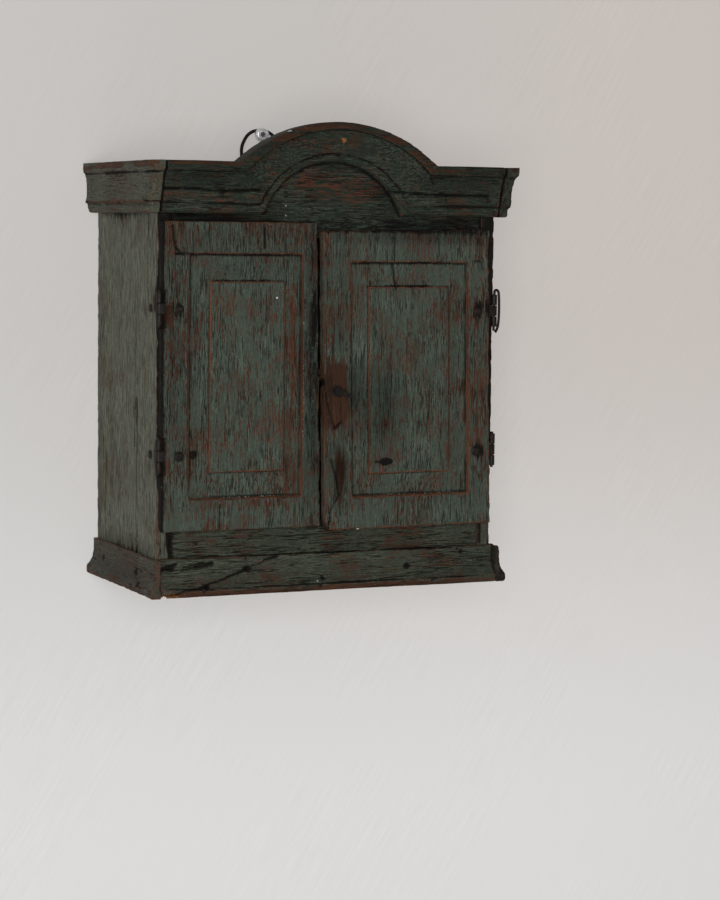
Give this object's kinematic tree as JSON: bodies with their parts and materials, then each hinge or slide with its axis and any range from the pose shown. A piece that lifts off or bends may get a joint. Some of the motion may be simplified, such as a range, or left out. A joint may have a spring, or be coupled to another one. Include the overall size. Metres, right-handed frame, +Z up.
{
  "type": "wall cupboard",
  "caption": "Small hanging wall cupboard with panelled double doors on iron hinges, arched cornice, flared base, turn latch and a cord loop for a wall screw.",
  "frame": {"origin": "axis of the hanging screw at the wall plane", "axes": "+Z up, +Y into the wall, the doors face -Y, +X to the right seen from the front"},
  "size_m": [0.326, 0.208, 0.3835],
  "materials": {
    "painted_wood": "old worn oil paint, dull",
    "bare_wood": "bare aged pine, dull",
    "iron": "rusty forged iron",
    "zinc": "bright zinc plate",
    "cord": "black braided cord"
  },
  "bodies": {
    "carcass": {"back_nails": "iron", "back_plank_left": "bare_wood", "back_plank_middle": "bare_wood", "back_plank_right": "bare_wood", "base_front": "painted_wood", "base_left": "painted_wood", "base_nails": "iron", "base_right": "painted_wood", "bottom_board": "bare_wood", "cleat_nails": "iron", "cord_knot_left": "cord", "cord_knot_right": "cord", "cornice_front": "painted_wood", "cornice_left": "painted_wood", "cornice_nails": "iron", "cornice_right": "painted_wood", "frieze_board": "painted_wood", "hanging_cord": "cord", "hanging_screw": "zinc", "hinge_leaf_side_left_lower": "iron", "hinge_leaf_side_left_upper": "iron", "hinge_leaf_side_right_lower": "iron", "hinge_leaf_side_right_upper": "iron", "hinge_nails_sides": "iron", "hinge_pin_left_lower": "iron", "hinge_pin_left_upper": "iron", "hinge_pin_right_lower": "iron", "hinge_wire_pin_right_upper": "iron", "latch_keeper": "iron", "lower_rail": "painted_wood", "shelf": "bare_wood", "shelf_cleat_left": "bare_wood", "shelf_cleat_right": "bare_wood", "side_left": "painted_wood", "side_right": "painted_wood", "top_board": "bare_wood"},
    "left_door": {"door_left": "painted_wood", "hinge_leaf_door_left_upper": "iron", "hinge_leaf_door_left_lower": "iron", "hinge_nails_left_door": "iron"},
    "right_door": {"door_right": "painted_wood", "hinge_leaf_door_right_upper": "iron", "hinge_leaf_door_right_lower": "iron", "hinge_nails_right_door": "iron", "latch_washer": "iron"},
    "latch": {"latch_spindle": "iron", "latch_arm": "iron"}
  },
  "joints": [
    {"name": "left_door_hinge", "type": "hinge", "parent": "carcass", "child": "left_door", "pos_m": [-0.1457, -0.1559, -0.2044], "axis": [0, 0, -1], "range_deg": [0, 150]},
    {"name": "right_door_hinge", "type": "hinge", "parent": "carcass", "child": "right_door", "pos_m": [0.1533, -0.1559, -0.2064], "axis": [0, 0, 1], "range_deg": [-2.4, 115]},
    {"name": "latch_turn", "type": "hinge", "parent": "right_door", "child": "latch", "pos_m": [0.00321, -0.1688, -0.2124], "axis": [0.0419, -0.9991, 0], "range_deg": [0, 90]}
  ]
}
